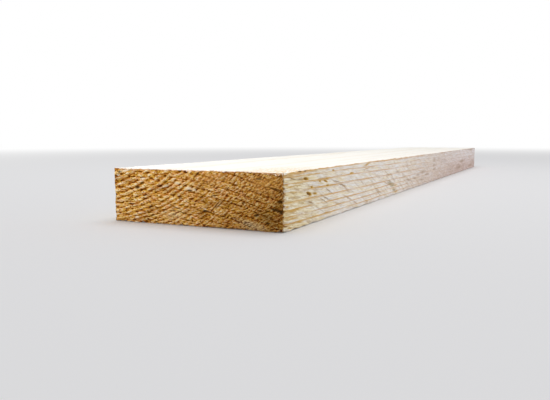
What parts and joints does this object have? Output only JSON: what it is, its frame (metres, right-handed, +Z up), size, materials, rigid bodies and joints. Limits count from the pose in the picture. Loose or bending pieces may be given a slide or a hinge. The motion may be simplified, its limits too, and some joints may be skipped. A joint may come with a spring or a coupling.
{
  "type": "timber plank",
  "caption": "Rough-sawn softwood plank with a rectangular section, square-cut ends, sharp arrises and small torn-grain hollows on one narrow edge.",
  "frame": {"origin": "middle of the underside, on the floor the plank lies on", "axes": "+X along the grain and the length, towards the far end; +Y across the width, away from the narrow edge with the torn hollows; +Z up through the thickness"},
  "size_m": [1.2, 0.175, 0.05],
  "materials": {
    "sawn_softwood": "rough band-sawn, untreated: cream-white faces, greyish narrow edges with tan growth lines, and golden-brown sawn end grain"
  },
  "bodies": {
    "root": {"plank": "sawn_softwood"}
  },
  "joints": []
}
